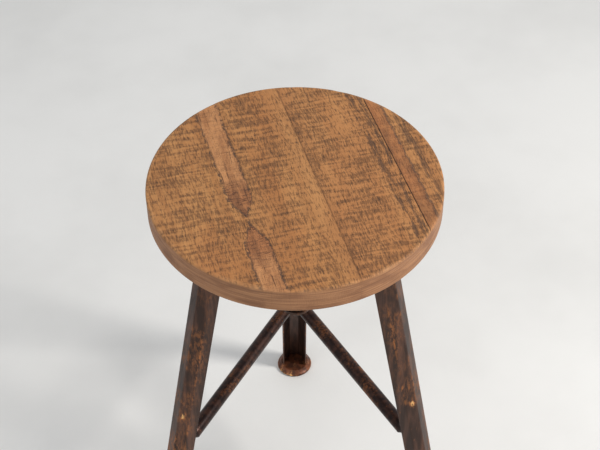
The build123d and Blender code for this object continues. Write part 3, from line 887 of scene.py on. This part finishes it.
# ---------------------------------------- struts
STRUT_RADIUS = 9.0 * MM
TAB_HALF_HEIGHT = (STRUT_HIGH.z - STRUT_LOW.z) / 2
STRUT_Z = (STRUT_HIGH.z + STRUT_LOW.z) / 2
TAB_HALF_THICK = 1.5 * MM
TAB_TURN = math.pi / 2 - LEG_SPREAD / 2
NODE_RADIUS = 160.0 * MM
TAB_START = -2.5 * MM
TAB_END = 10.5 * MM
TAB_CORNER = 6.0 * MM
NECK_START = 16.5 * MM
STRUT_RING = 40
TUBE_ROWS = 30
NECK_ROWS = 16
TAB_ROWS = 14


def tube_section():
    """The round tube's section, as (across, up) points."""
    return [(STRUT_RADIUS * math.cos(angle), STRUT_RADIUS * math.sin(angle)) for angle in turns(STRUT_RING)]


def tab_section(height):
    """A flattened tube's section: parallel sides, slightly thicker at its two folds."""
    points = []
    for angle in turns(STRUT_RING):
        c, s = math.cos(angle), math.sin(angle)
        across = TAB_HALF_THICK * (abs(c) ** 0.35) * (1 if c >= 0 else -1)
        up = height * (abs(s) ** 0.75) * (1 if s >= 0 else -1)
        pinch = 0.80 + 0.20 * min(abs(up) / height, 1.0) ** 2
        points.append((across * pinch, up))
    return points


def strut_rows():
    """Half a strut, from its middle to its tab: rows of (centre, turn, section, wear)."""
    node_x = NODE_RADIUS * math.sin(LEG_SPREAD / 2)
    node_y = NODE_RADIUS * math.cos(LEG_SPREAD / 2)
    offset = LEG_WIDTH / 2 - SHEET - TAB_HALF_THICK
    tab_along = Vector((math.cos(TAB_TURN), math.sin(TAB_TURN)))
    tab_centre = Vector((node_x - offset * math.sin(TAB_TURN), node_y + offset * math.cos(TAB_TURN)))
    tab_first = tab_centre + tab_along * TAB_START
    tube_end = Vector((node_x - NECK_START, node_y))
    circle = tube_section()
    flat = tab_section(TAB_HALF_HEIGHT)
    rows = []
    for r in range(TUBE_ROWS):
        rows.append((Vector((tube_end.x * r / TUBE_ROWS, node_y)), 0.0, circle, 0.0))
    for r in range(NECK_ROWS + 1):
        t = r / NECK_ROWS
        ease = smooth(t)
        mixed = [
            (a[0] * (1 - ease) + b[0] * ease, a[1] * (1 - ease) + b[1] * ease)
            for a, b in zip(circle, flat)
        ]
        rows.append((tube_end.lerp(tab_first, t), TAB_TURN * ease, mixed, t * 0.3))
    for r in range(1, TAB_ROWS + 1):
        along = TAB_START + (TAB_END - TAB_START) * (1 - (1 - r / TAB_ROWS) ** 1.3)
        past = max(along - (TAB_END - TAB_CORNER), 0.0)
        height = TAB_HALF_HEIGHT - TAB_CORNER + math.sqrt(max(TAB_CORNER ** 2 - past ** 2, 0.0))
        share = 0.35 + 0.5 * (past > 0)
        rows.append((tab_centre + tab_along * along, TAB_TURN, tab_section(height), share))
    return rows


def build_strut(side, material):
    """Round tube that flattens at both ends into tabs lying along the legs' flanks."""
    rows = strut_rows()
    verts, wear = [], []
    for centre, turn, section, share in rows:
        across = Vector((-math.sin(turn), math.cos(turn)))
        for a, up in section:
            verts.append((centre.x + across.x * a, centre.y + across.y * a, STRUT_Z + up))
            wear.append(share)
    half_faces = ring_faces(len(rows), STRUT_RING) + [ring_cap(len(rows) - 1, STRUT_RING)]
    mirrored = [(-x, y, z) for x, y, z in verts]
    both, faces = join_lists((verts, half_faces), (mirrored, half_faces))
    both = np.array(both)
    wear = np.array(wear * 2)
    seed = 41 if side == "left" else 43
    bumps = value_noise(both, (60, 60, 90), seed)
    both[:, 2] = STRUT_Z + (both[:, 2] - STRUT_Z) * (1 - 0.012 * (bumps + 1))
    patches = value_noise(both, (24, 60, 60), seed + 1)
    patches = patches + 0.5 * value_noise(both, (90, 150, 150), seed + 2)
    wear = np.clip(wear * (0.3 + 0.5 * patches) + 0.65 * np.clip(patches - 0.32, 0, 1), 0, 1)
    piece = make_object(f"strut_{side}_tube", both, faces, wear, STRUT_TURNS[side], angle=40)
    return settle(piece, "frame", "frame_steel", material, f"strut_{side}")


# ---------------------------------------- rivets
HEAD_RADIUS = 5.5 * MM
HEAD_HEIGHT = 3.2 * MM
HEAD_SUNK = 0.3 * MM
HEAD_STEPS = 7

# leg rivets: how much nearer the spindle than the leg's centre line
LEG_RIVET_INSET = 5.0 * MM
# strut rivets: how much further out than the point where the struts' lines meet
STRUT_RIVET_SHIFT = 5.0 * MM

# the flanks that strut tabs are riveted to
STRUT_FLANKS = {"rear": (-1, 1), "left": (1,), "right": (-1,)}


def rivet_head(seed):
    """A hammered rivet head, its flat on z = 0, slightly out of round."""
    profile = [(0.0, -HEAD_SUNK), (HEAD_RADIUS, -HEAD_SUNK)]
    for k in range(HEAD_STEPS + 1):
        angle = math.pi / 2 * k / HEAD_STEPS
        profile.append((HEAD_RADIUS * math.cos(angle), HEAD_HEIGHT * math.sin(angle) ** 0.9))
    verts, faces = lathe(profile, 28)
    verts = np.array(verts)
    knocks = value_noise(verts, (420, 420, 300), seed)
    verts *= (1 - 0.035 * (knocks + 1) / 2)[:, None]
    return verts, faces


def head_place(turn, spot, facing):
    """Where a head goes: facing +X or -X at a spot on a leg, turned round with the leg."""
    around = Matrix.Rotation(turn, 4, "Z")
    sideways = Matrix.Rotation(facing * math.pi / 2, 4, "Y")
    return around @ Matrix.Translation(spot) @ sideways


def rivet_heads(node, places, material):
    """All heads of one kind of rivet as one piece."""
    parts = []
    for k, place in enumerate(places):
        verts, faces = rivet_head(50 + k)
        parts.append(([place @ Vector(p) for p in verts], faces))
    verts, faces = join_lists(*parts)
    spots = value_noise(np.array([tuple(v) for v in verts]), (300, 300, 300), 61)
    piece = make_object(f"{node}_heads", verts, faces, np.clip(0.45 + 0.6 * spots, 0, 1))
    return settle(piece, "frame", "fixings", material, node)


def build_leg_rivets(material):
    """Two rivets through each leg's flanks, with a head on either side."""
    low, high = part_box("leg_rivets")
    spread = (high.z - low.z) / 2 - HEAD_RADIUS
    middle = (high.z + low.z) / 2
    places = []
    for turn in LEG_TURNS.values():
        for z in (middle - spread, middle + spread):
            for sign in (-1, 1):
                spot = (sign * LEG_WIDTH / 2, leg_centre(z) - LEG_RIVET_INSET, z)
                places.append(head_place(turn, spot, sign))
    rivet_heads("leg_rivets", places, material)


def build_strut_rivets(material):
    """A rivet through each strut tab and the flank beside it, with a head at either end."""
    outside = LEG_WIDTH / 2
    inside = LEG_WIDTH / 2 - SHEET - 2 * TAB_HALF_THICK
    places = []
    for side, turn in LEG_TURNS.items():
        for sign in STRUT_FLANKS[side]:
            for x, facing in ((outside, sign), (inside, -sign)):
                spot = (sign * x, NODE_RADIUS + STRUT_RIVET_SHIFT, STRUT_Z)
                places.append(head_place(turn, spot, facing))
    rivet_heads("strut_rivets", places, material)


# ---------------------------------------- spindle and castings
THREAD_CREST = (SPINDLE_HIGH.x - SPINDLE_LOW.x) / 2 - 0.05 * MM
THREAD_ROOT = THREAD_CREST - 2.3 * MM
THREAD_LOW = SPINDLE_LOW.z + 16.0 * MM
THREAD_HIGH = PLATE_LOW.z - 3.0 * MM
THREAD_RUN_IN = 2.0 * MM
SPIGOT_RADIUS = 9.0 * MM
SPIGOT_CHAMFER = 1.2 * MM
TOP_CHAMFER = 1.0 * MM
SPINDLE_RING = 64
ROWS_PER_TURN = 12
CAST_SKIN = 0.06 * MM


def thread_radius(z, share):
    """The thread's radius at a height, with share the part of a turn round from +X."""
    phase = (z / THREAD_PITCH - share) % 1.0
    tooth = smooth(min(max((0.5 - abs(phase - 0.5)) * 4 - 0.5, 0.0), 1.0))
    run_in = min((z - THREAD_LOW) / THREAD_RUN_IN, (THREAD_HIGH - z) / THREAD_RUN_IN, 1.0)
    return THREAD_ROOT + (THREAD_CREST - THREAD_ROOT) * max(tooth * run_in, 0)


def build_spindle(material):
    """Screw spindle with a real rounded thread between its plain top and its spigot."""
    low, high = SPINDLE_LOW.z, SPINDLE_HIGH.z
    below = [(low, 0.0), (low, SPIGOT_RADIUS - SPIGOT_CHAMFER), (low + SPIGOT_CHAMFER, SPIGOT_RADIUS)]
    below += [(THREAD_LOW, SPIGOT_RADIUS), (THREAD_LOW, THREAD_ROOT)]
    above = [(THREAD_HIGH + 0.6 * MM, THREAD_CREST), (high - TOP_CHAMFER, THREAD_CREST)]
    above += [(high, THREAD_CREST - TOP_CHAMFER), (high, 0.0)]
    count = int((THREAD_HIGH - THREAD_LOW) / (THREAD_PITCH / ROWS_PER_TURN))
    shares = [k / SPINDLE_RING for k in range(SPINDLE_RING)]
    rows = [(z, [radius] * SPINDLE_RING) for z, radius in below]
    for k in range(count + 1):
        z = THREAD_LOW + (THREAD_HIGH - THREAD_LOW) * k / count
        rows.append((z, [thread_radius(z, share) for share in shares]))
    rows += [(z, [radius] * SPINDLE_RING) for z, radius in above]
    verts = []
    for z, radii in rows:
        for radius, angle in zip(radii, turns(SPINDLE_RING)):
            verts.append((radius * math.cos(angle), radius * math.sin(angle), z))
    faces = ring_faces(len(rows), SPINDLE_RING)
    piece = make_object("spindle_screw", verts, faces, np.zeros(len(verts)), angle=45)
    return settle(piece, "seat", "spindle_steel", material, "spindle")


def casting(node, body, slot_name, material, voxel, seed):
    """A cast copy of a CAD node: its corners run soft, and its skin is slightly rough."""
    source = bpy.data.objects[node]
    copy = bpy.data.objects.new(f"{node}_cast", source.data.copy())
    bpy.context.scene.collection.objects.link(copy)
    remesh = copy.modifiers.new("remesh", "REMESH")
    remesh.mode = "VOXEL"
    remesh.voxel_size = voxel
    soften = copy.modifiers.new("soften", "SMOOTH")
    soften.factor = 0.5
    soften.iterations = 4
    depsgraph = bpy.context.evaluated_depsgraph_get()
    mesh = bpy.data.meshes.new_from_object(copy.evaluated_get(depsgraph))
    copy.modifiers.clear()
    copy.data = mesh
    points = np.empty(len(mesh.vertices) * 3)
    normals = np.empty(len(mesh.vertices) * 3)
    mesh.vertices.foreach_get("co", points)
    mesh.vertices.foreach_get("normal", normals)
    points, normals = points.reshape(-1, 3), normals.reshape(-1, 3)
    rough = value_noise(points, (230, 230, 230), seed)
    rough = rough + 0.5 * value_noise(points, (600, 600, 600), seed + 1)
    points -= normals * ((rough + 1.5) * CAST_SKIN)[:, None]
    mesh.vertices.foreach_set("co", points.reshape(-1))
    mesh.update()
    for polygon in mesh.polygons:
        polygon.use_smooth = True
    set_wear(mesh, np.clip(0.3 * rough, 0, 1))
    return settle(copy, body, slot_name, material, node)


def paint(node, material):
    """Gives a CAD node that is shown as it is its material."""
    mesh = bpy.data.objects[node].data
    mesh.materials.clear()
    mesh.materials.append(material)


# ---------------------------------------- build the stool
build_seat()

leg_steel = patina(
    "leg_steel", srgb(58, 43, 37), srgb(90, 64, 53), srgb(186, 116, 62), rough=0.30, rust_share=0.32
)
strut_steel = patina(
    "strut_steel", srgb(44, 32, 30), srgb(72, 49, 41), srgb(176, 108, 56), rough=0.28, seed=3.0
)
foot_steel = patina(
    "foot_steel", srgb(78, 48, 36), srgb(122, 72, 48), srgb(196, 134, 86), 0.4, rust_share=0.7
)
cast_iron = patina("cast_iron", srgb(48, 40, 36), srgb(74, 56, 46), srgb(118, 76, 48), 0.3, 0.52)
spindle_steel = patina("spindle_steel", srgb(112, 104, 96), srgb(78, 66, 58), srgb(104, 74, 50), 0.9, 0.32)
bush_brass = patina("bush_brass", srgb(168, 128, 70), srgb(116, 86, 50), srgb(84, 70, 50), 0.9, 0.34)
fixing_steel = patina("fixing_steel", srgb(70, 52, 44), srgb(98, 68, 52), srgb(160, 104, 66), 0.6, 0.38)

for side in LEG_TURNS:
    build_leg(side, leg_steel)
    build_foot(side, foot_steel)
for side in STRUT_TURNS:
    build_strut(side, strut_steel)
build_leg_rivets(fixing_steel)
build_strut_rivets(fixing_steel)
build_spindle(spindle_steel)
casting("spider", "frame", "cast_iron", cast_iron, 1.0 * MM, 71)
casting("seat_plate", "seat", "cast_iron", cast_iron, 0.8 * MM, 73)

paint("thread_bush", bush_brass)
for node in ("seat_screws", "spindle_pin", "split_pin", "stop_washer", "bush_screws"):
    paint(node, fixing_steel)


# ---------------------------------------- floor, lights, camera
FLOOR_SIDE = 6.0
FLOOR_PARTS = 24


def build_floor():
    """A pale floor, which isn't part of the stool."""
    line = [FLOOR_SIDE * (k / FLOOR_PARTS - 0.5) for k in range(FLOOR_PARTS + 1)]
    verts = [(x, y, 0.0004 * math.sin(7 * x) * math.sin(5 * y) - 0.0006) for y in line for x in line]
    mesh = bpy.data.meshes.new("floor")
    mesh.from_pydata(verts, [], ring_faces(FLOOR_PARTS + 1, FLOOR_PARTS + 1, closed=False))
    mesh.materials.append(floor_paint())
    floor = bpy.data.objects.new("floor", mesh)
    bpy.context.scene.collection.objects.link(floor)


def area_light(name, place, size, power, color):
    """A round lamp that points at the stool's middle."""
    light = bpy.data.lights.new(name, "AREA")
    light.shape = "DISK"
    light.size = size
    light.energy = power
    light.color = color
    lamp = bpy.data.objects.new(name, light)
    lamp.location = place
    target = Vector((AXIS_X, AXIS_Y, 0.35))
    lamp.rotation_euler = (target - Vector(place)).to_track_quat("-Z", "Y").to_euler()
    bpy.context.scene.collection.objects.link(lamp)


def build_lights():
    """A warm key from the right, a cooler and larger fill from the left, and an even sky."""
    area_light("key", place=(2.1, -0.7, 1.9), size=0.65, power=54.0, color=(1.0, 0.97, 0.93))
    area_light("fill", place=(-1.6, -2.2, 2.4), size=2.2, power=18.0, color=(0.94, 0.97, 1.0))
    world = bpy.data.worlds.new("studio")
    world.use_nodes = True
    sky = world.node_tree.nodes["Background"]
    sky.inputs["Color"].default_value = (0.95, 0.97, 1.0, 1.0)
    sky.inputs["Strength"].default_value = 0.57
    bpy.context.scene.world = world
    bpy.context.scene.view_settings.view_transform = "Standard"


def build_camera():
    """Looks down at the stool from in front, a little to its left."""
    camera = bpy.data.cameras.new("camera")
    camera.lens = 84.0
    camera.sensor_width = 36.0
    camera.clip_start = 0.01
    eye = bpy.data.objects.new("camera", camera)
    place = Matrix.Translation((AXIS_X - 0.0189, AXIS_Y - 1.1303, 1.620))
    yaw = Matrix.Rotation(math.radians(-1.225), 4, "Z")
    pitch = Matrix.Rotation(math.radians(45.15), 4, "X")
    roll = Matrix.Rotation(math.radians(-0.39), 4, "Z")
    eye.matrix_world = place @ (yaw @ pitch @ roll)
    bpy.context.scene.collection.objects.link(eye)
    bpy.context.scene.camera = eye


build_floor()
build_lights()
build_camera()
